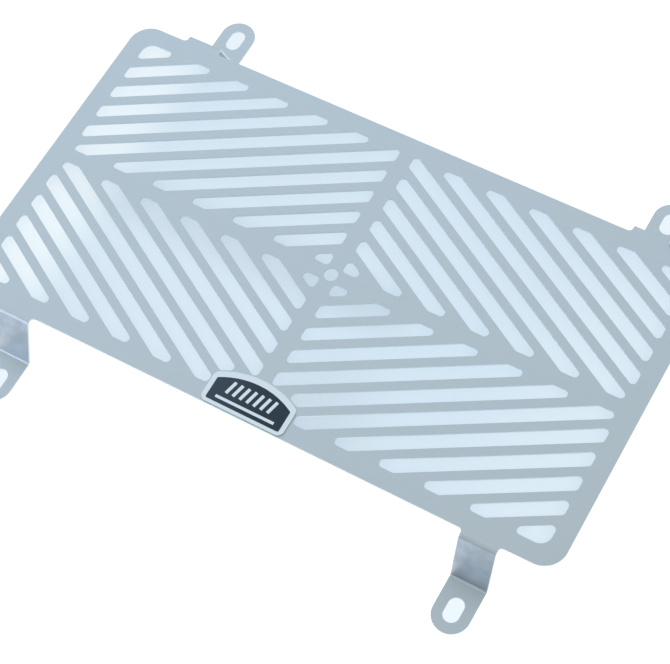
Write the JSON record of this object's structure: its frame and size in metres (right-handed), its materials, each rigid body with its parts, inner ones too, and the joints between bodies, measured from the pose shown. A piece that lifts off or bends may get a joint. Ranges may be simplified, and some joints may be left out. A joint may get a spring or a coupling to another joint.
{
  "type": "motorcycle radiator guard",
  "caption": "Slotted steel plate that shields a motorcycle radiator, with joggled mounting tabs, slotted bolt holes and a small arched badge on its lower edge.",
  "frame": {"origin": "middle of the footprint, at the underside of the tabs' feet", "axes": "+X along the long side, +Y from the badge's edge towards the opposite long edge, +Z out of the front face"},
  "size_m": [0.34, 0.2614, 0.0297],
  "materials": {
    "sheet": "satin stainless steel with fine brushing and bright cut edges",
    "badge": "dark satin field inside a raised pale metal rim"
  },
  "bodies": {
    "root": {"guard_sheet": "sheet", "badge": "badge"}
  },
  "joints": []
}
